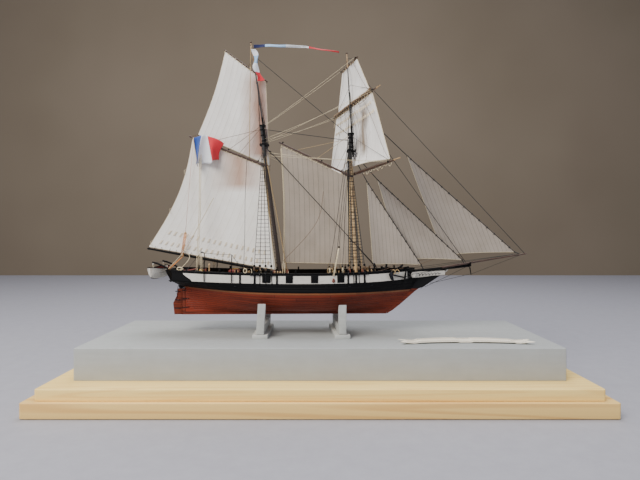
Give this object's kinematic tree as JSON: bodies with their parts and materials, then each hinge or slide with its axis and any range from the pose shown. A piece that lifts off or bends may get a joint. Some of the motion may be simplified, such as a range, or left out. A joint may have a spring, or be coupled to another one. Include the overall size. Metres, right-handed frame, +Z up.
{
  "type": "model sailing ship",
  "caption": "Two-masted topsail schooner display model with set sails and flags, resting on a pair of cradles on a painted plinth and stepped wooden base.",
  "frame": {"origin": "middle of the base's underside, on the surface the model stands on", "axes": "+X towards the ship's bow, +Y to port, +Z up"},
  "size_m": [0.57, 0.229, 0.4017],
  "materials": {
    "pine": "planed, unfinished",
    "grey_paint": "brushed matt paint",
    "white_paint": "brushed satin paint",
    "black_paint": "satin paint",
    "red_paint": "satin paint",
    "hull_planking": "varnished planking",
    "deck_planking": "oiled planking",
    "dark_spar": "stained, satin",
    "light_spar": "oiled, satin",
    "iron": "blackened",
    "brass": "polished",
    "label_paper": "aged paper",
    "sailcloth": "fine unbleached cotton",
    "bunting": "thin dyed cloth",
    "rigging": "waxed thread"
  },
  "bodies": {
    "stand": {"base_board": "pine", "base_step": "pine", "plinth": "grey_paint", "name_ribbon": "label_paper", "cradle_aft_foot": "white_paint", "cradle_aft_frame": "white_paint", "cradle_fore_foot": "white_paint", "cradle_fore_frame": "white_paint"},
    "ship": {"hull": "hull_planking", "keel": "hull_planking", "stem": "black_paint", "deck": "deck_planking", "bulwark_port": "white_paint", "bulwark_starboard": "white_paint", "rail_port": "black_paint", "rail_starboard": "black_paint", "transom": "black_paint", "head_board_port": "white_paint", "head_board_starboard": "white_paint", "bowsprit": "black_paint", "jib_boom": "dark_spar", "dolphin_striker": "black_paint", "fore_lower_mast": "dark_spar", "fore_topmast": "light_spar", "fore_top": "black_paint", "main_lower_mast": "dark_spar", "main_topmast": "light_spar", "main_top": "black_paint", "main_shrouds_port": "rigging", "main_shrouds_starboard": "rigging", "fore_shrouds_port": "rigging", "fore_shrouds_starboard": "rigging", "companion": "red_paint", "binnacle": "dark_spar", "main_hatch": "dark_spar", "ship_boat": "white_paint", "stern_davit_port": "black_paint", "stern_davit_starboard": "black_paint", "anchor_port": "iron", "anchor_starboard": "iron", "fore_staysail": "sailcloth", "jib": "sailcloth", "outer_jib": "sailcloth", "fore_gaff": "dark_spar", "foresail": "sailcloth", "pennant": "bunting", "streamer": "bunting"},
    "steering": {"rudder": "hull_planking", "tiller": "red_paint"},
    "main_spars": {"main_boom": "black_paint", "main_gaff": "dark_spar", "mainsail": "sailcloth", "topsail_spar": "dark_spar", "gaff_topsail": "sailcloth", "ensign": "bunting"},
    "fore_yards": {"fore_yard": "dark_spar", "topsail_yard": "dark_spar", "topgallant_yard": "dark_spar", "fore_topsail": "sailcloth", "topgallant_sail": "sailcloth"}
  },
  "joints": [
    {"name": "ship_lift", "type": "slide", "parent": "stand", "child": "ship", "axis": [0, 0, 1], "range_m": [0, 0.06]},
    {"name": "rudder_turn", "type": "hinge", "parent": "ship", "child": "steering", "pos_m": [-0.1634, 0, 0.1], "axis": [0, 0, 1], "range_deg": [-35, 35]},
    {"name": "boom_swing", "type": "hinge", "parent": "ship", "child": "main_spars", "pos_m": [-0.0473, 0, 0.132], "axis": [-0.1283, 0, 0.9917], "range_deg": [-8, 8]},
    {"name": "yard_brace", "type": "hinge", "parent": "ship", "child": "fore_yards", "pos_m": [0.042, 0, 0.1357], "axis": [-0.0435, 0, 0.9991], "range_deg": [-16, 1]}
  ]
}
